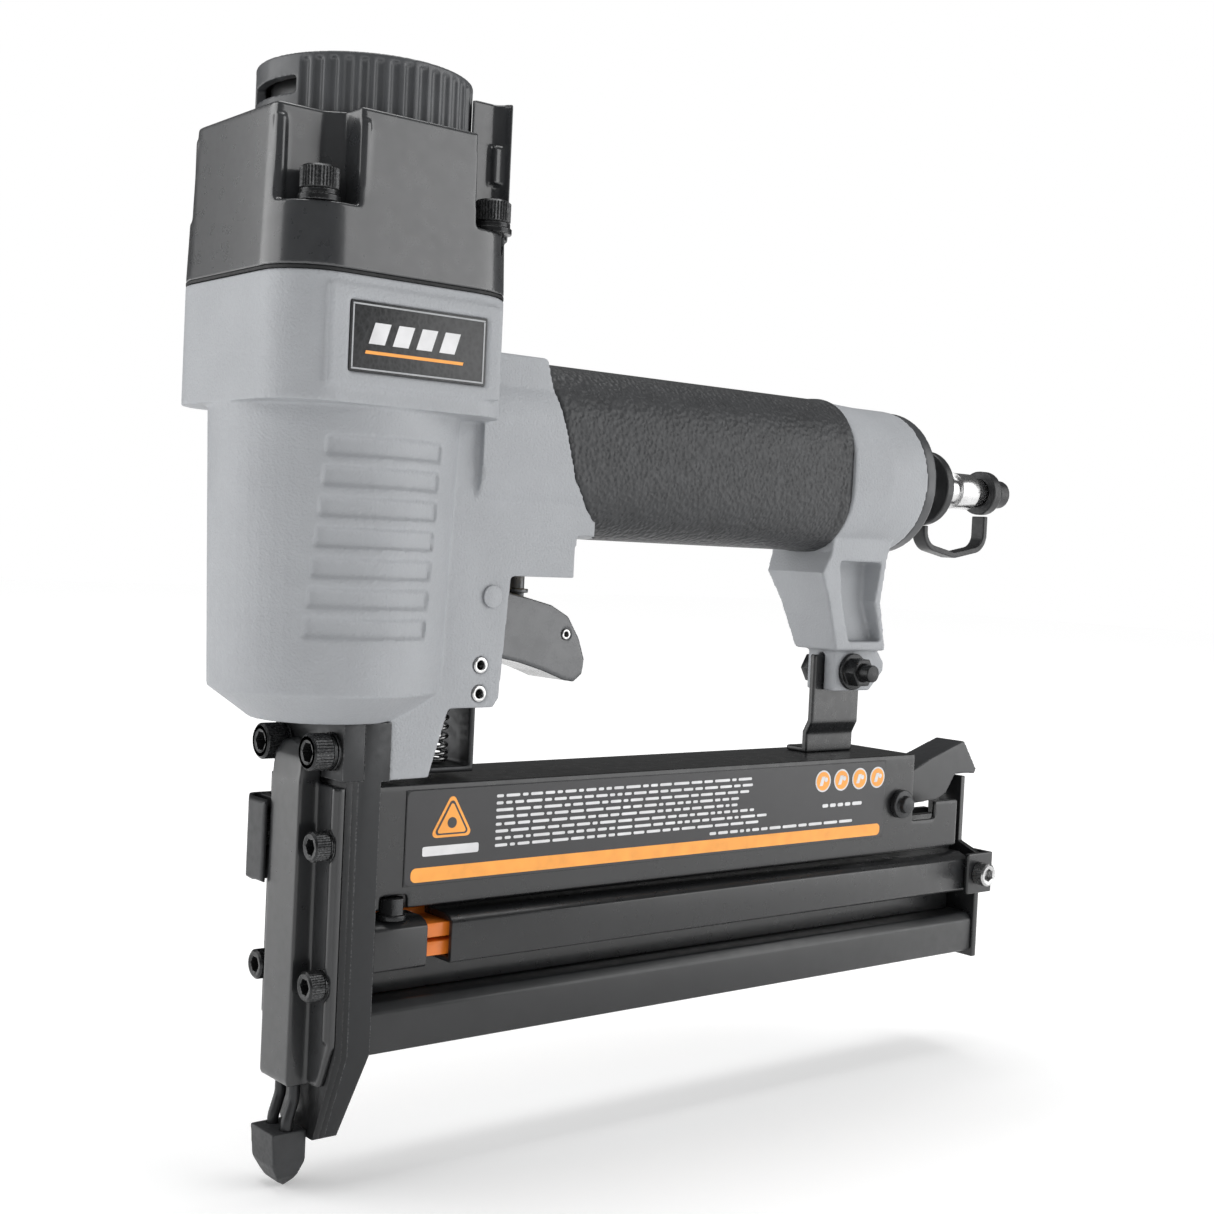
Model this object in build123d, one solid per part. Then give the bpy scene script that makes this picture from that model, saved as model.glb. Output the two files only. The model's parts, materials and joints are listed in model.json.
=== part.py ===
from build123d import *
import math
import os

# Pneumatic nail gun, in millimetres.
# The driver blade runs down the Z axis, the nose end face is at Z 0, the air inlet is towards +X,
# and the left-hand side of the tool faces -Y.

# ---- driving dimensions ----
SEAM_Z = 195.5            # joint between casting and cylinder cap
HEAD_X = (-29.0, 31.5)
HEAD_HALF_Y = 29.6
HEAD_CORNER = 13.0
HEAD_BOTTOM_Z = 167.5
BARREL_TOP_R = 28.7
BARREL_LOW_R = 26.6
BARREL_LOW_Z = 104.0
BARREL_END_R = 17.0
BARREL_END_Z = 97.0
CHAMBER_R = 23.5
GASKET_T = 0.6

HANDLE_Z = 162.8          # height of the handle axis
HANDLE_W = 35.0
HANDLE_H = 43.4
HANDLE_CORNER = 15.5
HANDLE_END_R = 21.2
HANDLE_END_X = 184.5
GRIP_T = 2.0
NECK_HALF_Y = 15.5
NECK_BOTTOM_Z = 131.4
NECK_END_X = 60.2

CAP_TOP_Z = 230.5
CAP_DRAFT = 1.2           # the cap is narrower than the head by this much at its top, all round
SCREW_FRONT_X = -19.8
SCREW_REAR_X = 25.0
SCREW_Y = 24.0
POCKET_FLOOR_Z = 209.5
POCKET_Y = 19.2           # the screw pockets are cut in from here to the side faces
DEFLECTOR_X = 4.5
DEFLECTOR_R = 24.8
DEFLECTOR_TOP_Z = 244.3
FLUTES = 46
SMOOTH_HALF_DEG = 27.0    # plain sector of the deflector, each side of straight ahead

SLEEVE_R = 20.0
PISTON_R = 17.4
STROKE = 74.0
PISTON_Z = 179.6          # underside of the raised piston
SLEEVE_Z = (106.5, 188.0)
BLADE_W = 6.2
BLADE_T = 1.2

PLATE_HALF = 16.0         # half width of the nose plates
PLATE_TOP_Z = 84.0
PLATE_TAPER_Z = 21.0
NOSE_TIP_HALF = 7.3
CHANNEL_HALF = 3.3
GUIDE_X = (-0.7, 0.7)     # the lamination that holds the driver channel
FRONT_PLATE_X = (-2.4, -0.7)
BACK_PLATE_X = (0.7, 6.7)
COVER_FLANGE_X = (-4.2, -2.4)
LUG_TOP_Z = 97.0
LUG_SEAM_X = 2.1
LUG_FRONT_X = -3.4
LUG_BACK_X = 9.0
UPPER_BOLT = (11.1, 90.4)
COVER_BOLT_Y = 11.9
COVER_BOLT_Z = (69.1, 37.4)

WIRE_Y = 3.2
WIRE_R = 1.35
WIRE_X = -5.2
LINK_JOIN_Y = 4.6         # where the wire meets the side link
SAFETY_TRAVEL = 6.5

PIVOT = (35.8, 126.4)     # trigger pivot, X and Z
ROLL_PINS = ((33.4, 110.0), (33.3, 103.2))
CAVITY_HALF = 10.0
VALVE_X = 54.0

COVER_HALF = 13.7         # magazine cover
COVER_TOP_Z = 82.0
COVER_LOW_Z = 53.2
SHEET = 1.4
TRACK_HALF = 5.6
RAIL_OUT = 15.8
RAIL_Z = (39.2, 50.9)
LOWER_Z = (19.6, 31.4)
MAG_FRONT_X = 7.2
MAG_BACK_X = 214.8
TRACK_Z = (31.6, 62.0)
WINDOW_X = (21.4, 28.2)   # gap between the fixed guides and the moving rails
END_PLATE_X = (225.0, 227.0)

LATCH_PIVOT = (188.0, 67.6)
LEG_BOLT = (173.0, 106.3)
INLET_Z = 162.2
PLUG_X = 197.0


# ---- small helpers ----
def block(x0, x1, y0, y1, z0, z1):
    return Pos((x0 + x1) / 2, (y0 + y1) / 2, (z0 + z1) / 2) * Box(x1 - x0, y1 - y0, z1 - z0)


def post(radius, z0, z1, x=0.0, y=0.0):
    return Pos(x, y, (z0 + z1) / 2) * Cylinder(radius, z1 - z0)


def rod_x(radius, x0, x1, y=0.0, z=0.0):
    return Pos((x0 + x1) / 2, y, z) * Rot(0, 90, 0) * Cylinder(radius, x1 - x0)


def rod_y(radius, y0, y1, x=0.0, z=0.0):
    return Pos(x, (y0 + y1) / 2, z) * Rot(90, 0, 0) * Cylinder(radius, y1 - y0)


def plate_y(points, y0, y1):
    """A flat outline in X and Z, given thickness from y0 to y1."""
    outline = Polyline(*[(x, y0, z) for x, z in points], close=True)
    return extrude(make_face(outline), amount=y1 - y0, dir=(0, 1, 0))


def plate_x(points, x0, x1):
    """A flat outline in Y and Z, given thickness from x0 to x1."""
    outline = Polyline(*[(x0, y, z) for y, z in points], close=True)
    return extrude(make_face(outline), amount=x1 - x0, dir=(1, 0, 0))


def plate_z(points, z0, z1):
    """A flat outline in X and Y, given thickness from z0 to z1."""
    outline = Polyline(*[(x, y, z0) for x, y in points], close=True)
    return extrude(make_face(outline), amount=z1 - z0, dir=(0, 0, 1))


def head_section(z, inset=0.0):
    """The head's rounded rectangle at height z, drawn in by inset all round."""
    length = HEAD_X[1] - HEAD_X[0] - 2 * inset
    outline = RectangleRounded(length, 2 * (HEAD_HALF_Y - inset), HEAD_CORNER - inset)
    return Pos((HEAD_X[0] + HEAD_X[1]) / 2, 0, z) * outline


def section_x(width, height, corner, x, z):
    return Plane(origin=(x, 0, z), x_dir=(0, 1, 0), z_dir=(1, 0, 0)) * RectangleRounded(width, height, corner)


def rounded_x(width, height, corner, x0, x1, z):
    return extrude(section_x(width, height, corner, x0, z), amount=x1 - x0)


def mirrored_y(solid):
    return mirror(solid, Plane.XZ)


def both_sides(solid):
    return together([solid, mirrored_y(solid)])


def together(shapes):
    """Separate solids kept in one node."""
    return Compound(children=[solid for shape in shapes for solid in shape.solids()])


def socket_screw(head_r, head_h, shank_r, shank_l):
    """A socket head screw, head up, with the underside of its head at the origin."""
    screw = post(head_r, 0, head_h) + post(shank_r, -shank_l, 0)
    socket = extrude(Pos(0, 0, head_h - head_r * 0.55) * RegularPolygon(head_r * 0.56, 6), amount=head_r)
    return screw - socket


def washer(outer, inner, thickness):
    return Cylinder(outer, thickness) - Cylinder(inner, thickness * 2)


def coil_blank(outer, inner, z0, z1, x=0.0, y=0.0):
    """The round envelope of a coil spring."""
    return post(outer, z0, z1, x, y) - post(inner, z0 - 1, z1 + 1, x, y)


# ---- casting ----
def grip_region():
    """Where the rubber grip lies, seen from the side."""
    front = [(48.9, 190.0), (49.4, 184.0), (55.0, 166.0), (58.0, 155.5), (65.5, 145.8), (74.0, 141.5),
             (74.6, 135.0)]
    rear = [(153.0, 135.0), (155.5, 141.0), (156.5, 162.0), (156.5, 190.0)]
    return plate_y(front + rear, -40, 40)


def handle_core():
    return rounded_x(HANDLE_W - 2 * GRIP_T, HANDLE_H - 2 * GRIP_T, HANDLE_CORNER - GRIP_T, 40, 170, HANDLE_Z)


def leg():
    levels = ((150.0, 140.0, 182.0, 12.4), (140.0, 150.2, 179.0, 12.0), (127.0, 157.4, 179.4, 10.0),
              (112.6, 163.2, 184.2, 8.4))
    sections = []
    for z, x0, x1, half in levels:
        sections.append(Pos((x0 + x1) / 2, 0, z) * Rectangle(x1 - x0, 2 * half))
    body = loft(sections, ruled=True)
    pocket = plate_y([(159.5, 138.6), (177.0, 138.6), (176.8, 127.0), (181.6, 115.4), (168.0, 115.4),
                      (163.0, 127.0)], -20, -4.6)
    body = body - pocket - mirrored_y(pocket)
    lug = plate_y([(165.8, 112.6), (165.8, 100.6), (181.5, 100.6), (187.2, 106.3), (187.2, 109.0),
                   (184.2, 112.6)], -5.4, 5.4)
    slot = block(161.5, 183.0, -1.1, 1.1, 99.0, 111.6)
    return body + lug - slot - rod_y(2.6, -10, 10, *LEG_BOLT)


def main_housing():
    head = extrude(head_section(HEAD_BOTTOM_Z), amount=SEAM_Z - GASKET_T - HEAD_BOTTOM_Z)
    barrel_h = HEAD_BOTTOM_Z - BARREL_LOW_Z
    end_h = BARREL_LOW_Z - BARREL_END_Z
    barrel = Pos(0, 0, BARREL_LOW_Z + barrel_h / 2) * Cone(BARREL_LOW_R, BARREL_TOP_R, barrel_h)
    end = Pos(0, 0, BARREL_END_Z + end_h / 2) * Cone(BARREL_END_R, BARREL_LOW_R, end_h)
    neck = plate_y([(0, NECK_BOTTOM_Z), (NECK_END_X, NECK_BOTTOM_Z), (NECK_END_X + 0.4, 142), (66, 142),
                    (66, 168),
                    (49, 184.4), (0, 184.4)], -NECK_HALF_Y, NECK_HALF_Y)
    cheeks = plate_y([(0, 132), (41.4, 132), (39.2, 102.0), (37.6, 99.8), (24.9, 99.8), (20.0, 83.8),
                      (9.0, 83.6),
                      (9.0, 97.2), (0, 97.2)], -NECK_HALF_Y + 0.2, NECK_HALF_Y - 0.2)
    tube = rounded_x(HANDLE_W, HANDLE_H, HANDLE_CORNER, 30, 150, HANDLE_Z)
    swell = loft([section_x(HANDLE_W, HANDLE_H, HANDLE_CORNER, 150, HANDLE_Z),
                  section_x(2 * HANDLE_END_R, 2 * HANDLE_END_R, HANDLE_END_R - 0.05, 170, INLET_Z + 0.4)])
    tail = rod_x(HANDLE_END_R, 170, HANDLE_END_X, 0, INLET_Z + 0.4)
    body = head + barrel + end + neck + cheeks + tube + swell + tail + leg()
    body = body - grip_region() + handle_core()
    # badge frames on both sides of the head
    frame = block(-19.5, 25.0, -HEAD_HALF_Y - 0.7, -HEAD_HALF_Y + 2, 171.3, 192.4)
    recess = block(-14.7, 21.0, -HEAD_HALF_Y - 2, -HEAD_HALF_Y + 0.3, 173.9, 189.6)
    body = body + frame + mirrored_y(frame) - recess - mirrored_y(recess)
    # shallow cooling pockets on both sides of the barrel
    for row in range(7):
        z = 158.6 - 6.62 * row
        shift = -0.35 * row
        pocket = block(-15.5 + shift, 13.6 + shift, -40, -20, z - 2.2, z + 2.2)
        pocket = pocket - Pos(0, 0, (BARREL_LOW_Z + HEAD_BOTTOM_Z) / 2) * Cone(25.7, 27.8, barrel_h)
        body = body - pocket - mirrored_y(pocket)
    # air spaces and bores
    body = body - post(CHAMBER_R, 112.0, 200.0) - post(SLEEVE_R + 0.05, 105.0, 113.0) - post(16.3, 100.4,
            106.0)
    body = body - block(-1.2, 1.2, -3.6, 3.6, 90, 101)
    body = body - rod_x(13.0, 20, 190, 0, INLET_Z)
    body = body - block(27.6, 45.0, -CAVITY_HALF, CAVITY_HALF, 95.0, NECK_BOTTOM_Z)
    body = body - post(7.0, NECK_BOTTOM_Z - 1, 152.0, VALVE_X)
    for x, z in (PIVOT,) + ROLL_PINS:
        body = body - rod_y(2.0, -17, 17, x, z)
    for y in (-UPPER_BOLT[0], UPPER_BOLT[0]):
        body = body - rod_x(2.5, 8.0, 19.0, y, UPPER_BOLT[1])
    for x, y in cap_places():
        body = body - post(2.5, 176.0, SEAM_Z + 1, x, y)
    return body


def grip_sleeve():
    outer = rounded_x(HANDLE_W, HANDLE_H, HANDLE_CORNER, 40, 170, HANDLE_Z)
    return (outer & grip_region()) - handle_core()


def end_cap():
    ring = rod_x(HANDLE_END_R - 0.3, HANDLE_END_X, 188.8, 0, INLET_Z + 0.4)
    spigot = rod_x(12.9, HANDLE_END_X - 8, HANDLE_END_X, 0, INLET_Z)
    boss = extrude(Plane(origin=(188.8, 0, INLET_Z), x_dir=(0, 1, 0),
                         z_dir=(1, 0, 0)) * RegularPolygon(13.0, 8), amount=8.0)
    return ring + spigot + boss - rod_x(6.0, 170, 200, 0, INLET_Z)


# ---- cylinder cap and exhaust ----
def cylinder_cap():
    cap = loft([head_section(SEAM_Z), head_section(CAP_TOP_Z, CAP_DRAFT)])
    for x0, x1 in ((-60, -12.6), (17.4, 60)):
        cut = block(x0, x1, -60, -POCKET_Y, POCKET_FLOOR_Z, 300) - post(25.2, 200, 250)
        cap = cap - cut - mirrored_y(cut)
    tower = plate_z([(19.0, -13.0), (31.2, -13.0), (31.2, -21.0), (30.6, -22.8), (30.0, -22.6), (29.6, -20.8),
                     (28.2, -19.0), (19.0, -19.0)], POCKET_FLOOR_Z - 1, 240.6)
    ledge = block(27.0, 29.8, -21.0, -18.8, 222.0, CAP_TOP_Z)
    lips = post(1.4, POCKET_FLOOR_Z - 1, 227.5, -11.4, 1.9 - HEAD_HALF_Y)
    lips = lips + post(1.4, POCKET_FLOOR_Z - 1, 227.5, -26.6, -18.6)
    for rise in (tower, ledge, lips):
        cap = cap + rise + mirrored_y(rise)
    cap = cap - post(DEFLECTOR_R + 0.7, CAP_TOP_Z, 260.0, DEFLECTOR_X)
    cap = cap - post(22.2, SEAM_Z - 1, 212.0) - post(8.0, 200.0, 240.0) - post(2.6, 200, 240, DEFLECTOR_X
            + 14.5)
    for x, y in cap_places():
        cap = cap - post(2.6, SEAM_Z - 1, POCKET_FLOOR_Z + 1, x, y)
    return cap


def cap_gasket():
    sheet = extrude(head_section(SEAM_Z - GASKET_T), amount=GASKET_T) - post(CHAMBER_R, 190, 200)
    for x, y in cap_places():
        sheet = sheet - post(2.7, 190, 200, x, y)
    return sheet


def cap_places():
    return [(x, y) for x in (SCREW_FRONT_X, SCREW_REAR_X) for y in (-SCREW_Y, SCREW_Y)]


def cap_screws():
    screw = socket_screw(4.25, 5.0, 2.45, 26.0)
    return together([Pos(x, y, POCKET_FLOOR_Z + 2.5) * screw for x, y in cap_places()])


def cap_washers():
    flat = washer(4.6, 2.5, 1.3)
    spring = washer(4.2, 2.5, 1.2)
    stack = ((0.65, flat), (1.9, spring))
    return [Pos(x, y, POCKET_FLOOR_Z + z) * ring for x, y in cap_places() for z, ring in stack]


def exhaust_deflector():
    z0 = CAP_TOP_Z + 0.4
    shell = post(DEFLECTOR_R, z0, DEFLECTOR_TOP_Z, DEFLECTOR_X)
    shell = shell - post(DEFLECTOR_R - 2.4, z0 - 1, DEFLECTOR_TOP_Z - 3.0, DEFLECTOR_X)
    slot = block(-50, 0, -30, 30, 235.6, 239.4)
    wedge = plate_z([(0, 0), (-60, -24.0), (-60, 24.0)], 235.6, 239.4)
    shell = shell - (slot & Pos(DEFLECTOR_X, 0, 0) * wedge)
    step = 360.0 / FLUTES
    for k in range(FLUTES):
        angle = step * (k + 0.5)
        if abs(angle - 180.0) > SMOOTH_HALF_DEG:
            x = DEFLECTOR_X + (DEFLECTOR_R + 0.35) * math.cos(math.radians(angle))
            y = (DEFLECTOR_R + 0.35) * math.sin(math.radians(angle))
            shell = shell - post(1.15, z0 - 1, DEFLECTOR_TOP_Z - 1.2, x, y)
    hub = post(6.0, z0, DEFLECTOR_TOP_Z - 2, DEFLECTOR_X)
    return shell + hub - post(2.6, 200, 260, DEFLECTOR_X)


def deflector_screw():
    return Pos(DEFLECTOR_X, 0, DEFLECTOR_TOP_Z) * socket_screw(4.2, 2.6, 2.5, 12.0)


def deflector_filter():
    return post(DEFLECTOR_R - 3.4, 231.2, 240.6, DEFLECTOR_X) - post(DEFLECTOR_R - 6.4, 230, 242, DEFLECTOR_X)


# ---- air motor ----
def cylinder_sleeve():
    bore = PISTON_R + 0.08
    return post(SLEEVE_R, SLEEVE_Z[0], SLEEVE_Z[1]) - post(bore, 100, 200)


def sleeve_seals():
    return together([post(CHAMBER_R - 0.2, z, z + 2.0) - post(SLEEVE_R + 0.05, 100, 200)
            for z in (118.0, 172.0)])


def piston():
    body = post(PISTON_R, PISTON_Z, PISTON_Z + 7.6)
    groove = post(PISTON_R + 1, PISTON_Z + 2.8, PISTON_Z + 4.8) - post(PISTON_R - 1.6, PISTON_Z, PISTON_Z + 8)
    return body - groove - block(-0.65, 0.65, -3.2, 3.2, PISTON_Z - 1, PISTON_Z + 5.5)


def piston_ring():
    return post(PISTON_R + 0.02, PISTON_Z + 2.85, PISTON_Z + 4.75) - post(PISTON_R - 1.55, PISTON_Z,
            PISTON_Z + 8)


def driver_blade():
    return block(-BLADE_T / 2, BLADE_T / 2, -BLADE_W / 2, BLADE_W / 2, 74.4, PISTON_Z + 5.2)


def bumper():
    return post(16.2, 100.5, 104.9) - block(-2.4, 2.4, -4.6, 4.6, 90, 110)


def head_valve():
    return post(22.1, 188.5, 200.0) - post(8.5, 180, 210) - post(18.0, 192.0, 210.0)


def head_valve_spring():
    return coil_blank(16.0, 13.6, 192.1, 211.9)


# ---- trigger and valve ----
def trigger():
    outline = [(32.4, 129.6), (43.9, 127.6), (50.0, 126.5), (59.6, 124.3), (65.0, 121.5), (68.7, 116.0),
               (70.7, 110.6),
               (70.2, 106.9), (67.6, 104.9), (64.6, 105.3), (57.7, 107.8), (50.6, 109.8), (43.7, 111.2),
               (40.6, 113.6),
               (32.2, 122.8)]
    inner = [(30.0, 140.0), (80.0, 140.0), (68.6, 119.0), (66.6, 113.6), (64.9, 109.0), (57.9, 111.4),
             (50.8, 113.2),
             (44.4, 114.6), (30.0, 130.0)]
    body = plate_y(outline, -8.0, 8.0) - plate_y(inner, -6.2, 6.2)
    return body - rod_y(2.06, -12, 12, *PIVOT) - rod_y(1.3, -12, 12, 64.3, 117.0)


def trigger_pivot_pin():
    return rod_y(1.98, -15.9, 15.9, *PIVOT) + rod_y(2.7, -16.0, -15.35, *PIVOT) + rod_y(2.7, 15.35, 16.0,
            *PIVOT)


def trigger_arm():
    arm = plate_y([(41.0, 124.2), (50.0, 124.0), (58.0, 122.4), (65.4, 119.0), (65.8, 116.2), (63.0, 115.4),
                   (56.0, 119.4),
                   (41.0, 121.4)], -3.0, 3.0)
    return arm - rod_y(1.3, -6, 6, 64.3, 117.0)


def trigger_arm_pin():
    return rod_y(1.29, -8.2, 8.2, 64.3, 117.0) - rod_y(0.7, -9, 9, 64.3, 117.0)


def trigger_spring():
    return coil_blank(3.2, 2.4, 124.4, 131.3, 45.6)


def roll_pins():
    pins = []
    for x, z in ROLL_PINS:
        pins.append(rod_y(1.98, -15.5, 15.5, x, z) - rod_y(1.1, -17, 17, x, z))
    return together(pins)


def valve_body():
    return post(6.95, NECK_BOTTOM_Z, 150.0, VALVE_X) - post(2.05, 120, 160, VALVE_X) - post(4.6, 138,
            160, VALVE_X)


def valve_stem():
    return post(1.98, 124.4, 146.0, VALVE_X) + post(3.0, 127.0, 128.0, VALVE_X) + post(4.5, 138.1, 141.0,
            VALVE_X)


def valve_spring():
    return coil_blank(4.2, 3.2, 141.1, 149.9, VALVE_X)


# ---- nose ----
def nose_outline(z_top):
    return [(-PLATE_HALF, z_top), (-PLATE_HALF, PLATE_TAPER_Z), (-NOSE_TIP_HALF, 0.0), (NOSE_TIP_HALF, 0.0),
            (PLATE_HALF, PLATE_TAPER_Z), (PLATE_HALF, z_top)]


def cover_bolt_holes(radius=2.05):
    return together([rod_x(radius, -12, 12, y, z) for y in (-COVER_BOLT_Y, COVER_BOLT_Y)
            for z in COVER_BOLT_Z])


def upper_bolt_holes(radius=2.6):
    return together([rod_x(radius, -12, 12, y, UPPER_BOLT[1]) for y in (-UPPER_BOLT[0], UPPER_BOLT[0])])


def nose_front_plate():
    return plate_x(nose_outline(PLATE_TOP_Z), *FRONT_PLATE_X) - cover_bolt_holes()


def nose_guide_plate():
    plate = plate_x(nose_outline(PLATE_TOP_Z), *GUIDE_X)
    return plate - block(-2, 2, -CHANNEL_HALF, CHANNEL_HALF, -1, 90) - cover_bolt_holes()


def nose_body():
    plate = plate_x(nose_outline(PLATE_TOP_Z), *BACK_PLATE_X)
    thin = plate_y([(3.9, -1.0), (BACK_PLATE_X[1] + 1, -1.0), (BACK_PLATE_X[1] + 1, PLATE_TAPER_Z),
                    (BACK_PLATE_X[1], PLATE_TAPER_Z)], -20, 20)
    lug = block(LUG_SEAM_X, LUG_BACK_X, -PLATE_HALF, PLATE_HALF, PLATE_TOP_Z - 1.0, LUG_TOP_Z)
    lug = lug - block(BACK_PLATE_X[1], 12, -20, 20, 80, PLATE_TOP_Z - 0.4)
    slot = block(-2, 12, -CHANNEL_HALF, CHANNEL_HALF, 18.0, 74.0)
    return plate - thin + lug - slot - cover_bolt_holes() - upper_bolt_holes()


def nose_adapter():
    body = block(LUG_FRONT_X, LUG_SEAM_X, -PLATE_HALF, PLATE_HALF, PLATE_TOP_Z, LUG_TOP_Z)
    return body - block(GUIDE_X[0], GUIDE_X[1], -CHANNEL_HALF, CHANNEL_HALF, 80, 100) - upper_bolt_holes()


def nose_cover():
    flange = plate_x([(-PLATE_HALF, 82.6), (-PLATE_HALF, 24.0), (-11.5, 13.6), (11.5, 13.6),
                      (PLATE_HALF, 24.0), (PLATE_HALF, 82.6)],
                     *COVER_FLANGE_X)
    profile = [(-3.6, 92.0), (-6.4, 91.2), (-8.4, 88.4), (-9.0, 83.0), (-9.2, 14.4), (-8.8, 13.0),
               (-3.6, 13.0)]
    hump = plate_y(profile, -6.6, 6.6)
    inner = [(-2.0, 90.0), (-5.6, 90.0), (-7.0, 87.6), (-7.6, 82.6), (-7.6, 26.0), (-8.3, 18.0),
             (-8.3, 10.0), (-2.0, 10.0)]
    rib = block(-4.9, COVER_FLANGE_X[1], -PLATE_HALF + 0.9, -PLATE_HALF + 2.2, 25.0, 82.6)
    cover = flange + hump + rib + mirrored_y(rib) - plate_y(inner, -5.1, 5.1)
    for y in (-COVER_BOLT_Y, COVER_BOLT_Y):
        for z in COVER_BOLT_Z:
            cover = cover - rod_x(3.9, -10.0, COVER_FLANGE_X[0], y, z)
    cover = cover - block(-6.9, -4.2, 5.0, 17.0, 72.6, 78.6 + SAFETY_TRAVEL)
    return cover - cover_bolt_holes()


def nose_bolts_lower():
    screw = socket_screw(3.5, 4.0, 1.98, 10.8)
    places = [(y, z) for y in (-COVER_BOLT_Y, COVER_BOLT_Y) for z in COVER_BOLT_Z]
    return together([Pos(-4.8, y, z) * Rot(0, -90, 0) * screw for y, z in places])


def screw_washers():
    small = [Pos(-4.5, y, z) * Rot(0, 90, 0) * washer(3.7, 2.0, 0.58)
             for y in (-COVER_BOLT_Y, COVER_BOLT_Y) for z in COVER_BOLT_Z]
    large = [Pos(-4.2, y, UPPER_BOLT[1]) * Rot(0, 90, 0) * washer(4.4, 2.5, 1.58)
            for y in (-UPPER_BOLT[0], UPPER_BOLT[0])]
    return together(cap_washers() + small + large)


def nose_bolts_upper():
    screw = socket_screw(4.25, 5.0, 2.45, 22.0)
    return both_sides(Pos(-5.0, -UPPER_BOLT[0], UPPER_BOLT[1]) * Rot(0, -90, 0) * screw)


# ---- contact safety ----
def safety_wire():
    path = FilletPolyline((-6.9, 0, -6.5), (-6.9, 0, 3.6), (WIRE_X, 0, 9.0), (WIRE_X, 0, 75.0), radius=6.0)
    side = sweep(Plane(origin=path @ 0, z_dir=path % 0) * Circle(WIRE_R), path)
    top = block(WIRE_X - 1.2, WIRE_X + 0.8, -WIRE_Y - 1.2, LINK_JOIN_Y, 74.0, 77.2)
    return Pos(0, -WIRE_Y, 0) * side + Pos(0, WIRE_Y, 0) * side + top


def no_mar_tip():
    side = [(-11.6, 2.2), (-2.8, 2.2), (-2.8, -5.6), (-4.4, -9.6), (-6.4, -11.3), (-8.6, -9.8), (-10.9, -5.6)]
    front = [(-5.4, 2.2), (5.4, 2.2), (5.4, -4.6), (4.2, -8.6), (2.0, -11.3), (-2.0, -11.3), (-4.2, -8.6),
             (-5.4, -4.6)]
    tip = plate_y(side, -5.4, 5.4) & plate_x(front, -12.0, -2.0)
    for y in (-WIRE_Y, WIRE_Y):
        tip = tip - post(WIRE_R + 0.02, -6.6, 4.0, -6.9, y)
    return tip


def safety_link():
    side = plate_y([(-2.0, 77.4), (30.0, 77.4), (30.0, 84.8), (38.7, 84.8), (38.7, 83.3), (33.0, 83.3),
                    (33.0, 57.6), (-2.0, 55.8)], 16.3, 17.8)
    bent = plate_z([(-10.4, 7.0), (-10.4, 14.8), (-9.2, 16.9), (-7.6, 17.8), (-2.0, 17.8), (-2.0, 16.3),
                    (-8.0, 16.3), (-9.2, 15.1), (-9.2, 7.0)], 56.5, 77.4)
    bent = bent & plate_y([(-12.0, 59.0), (-6.0, 55.8), (0.0, 55.8), (0.0, 77.4), (-9.2, 77.4),
                           (-12.0, 75.0)], 5.0, 20.0)
    bar = block(WIRE_X - 1.2, WIRE_X + 0.8, LINK_JOIN_Y, 16.3, 74.0, 77.2)
    return side + bent + bar


def safety_yoke():
    base = block(25.6, 38.7, -6.6, 16.3, 83.3, 84.8)
    wall = block(37.2, 38.7, -6.6, 6.6, 84.8, 103.0)
    return base + wall - post(1.6, 80, 90, 31.3)


def safety_spring():
    return coil_blank(3.5, 2.6, 84.9, 101.1, 31.3)


# ---- magazine ----
def magazine_cover():
    shell = block(MAG_FRONT_X, MAG_BACK_X, -COVER_HALF, COVER_HALF, COVER_LOW_Z, COVER_TOP_Z)
    shell = shell - block(0, 300, -COVER_HALF + SHEET, COVER_HALF - SHEET, 40, COVER_TOP_Z - SHEET)
    shell = shell - block(194.0, 300, -20, 20, 67.4, 90)
    shell = shell - block(194.4, 204.2, -20, 20, 62.0, 68.0)
    shell = shell - rod_y(2.6, -20, 20, *LATCH_PIVOT)
    nut_slot = block(9.2, 16.8, -20, -8, 50.0, 56.4)
    return shell - nut_slot - mirrored_y(nut_slot)


def name_plates():
    """Thin plates: one label on each side of the magazine cover, one badge on each side of the head."""
    label = block(15.2, 180.8, -COVER_HALF - 0.25, -COVER_HALF, 58.2, 80.8)
    badge = block(-14.4, 20.7, -HEAD_HALF_Y - 0.5, -HEAD_HALF_Y + 0.3, 174.2, 189.3)
    return together([label, mirrored_y(label), badge, mirrored_y(badge)])


def side_bar(x0, x1):
    """A pair of formed channels, open towards the fastener track, in which the pusher wings run."""
    z0, z1 = RAIL_Z
    outer = [(TRACK_HALF, z1), (RAIL_OUT - 3.4, z1), (RAIL_OUT - 1.2, z1 - 0.8), (RAIL_OUT, z1 - 1.9),
             (RAIL_OUT, z0 + 0.8),
             (RAIL_OUT - 0.8, z0), (TRACK_HALF, z0)]
    hollow = block(x0 - 1, x1 + 1, 0, RAIL_OUT - SHEET, z0 + SHEET, z1 - SHEET - 0.4)
    return both_sides(plate_x(outer, x0, x1) - hollow)


def front_guides():
    return side_bar(MAG_FRONT_X - 0.4, WINDOW_X[0])


def guide_nuts():
    nut = extrude(Pos(13.0, -12.6, RAIL_Z[1]) * RegularPolygon(3.1, 6), amount=5.0) + post(3.5,
            RAIL_Z[1], RAIL_Z[1] + 1.2, 13.0, -12.6)
    return both_sides(nut)


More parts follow.
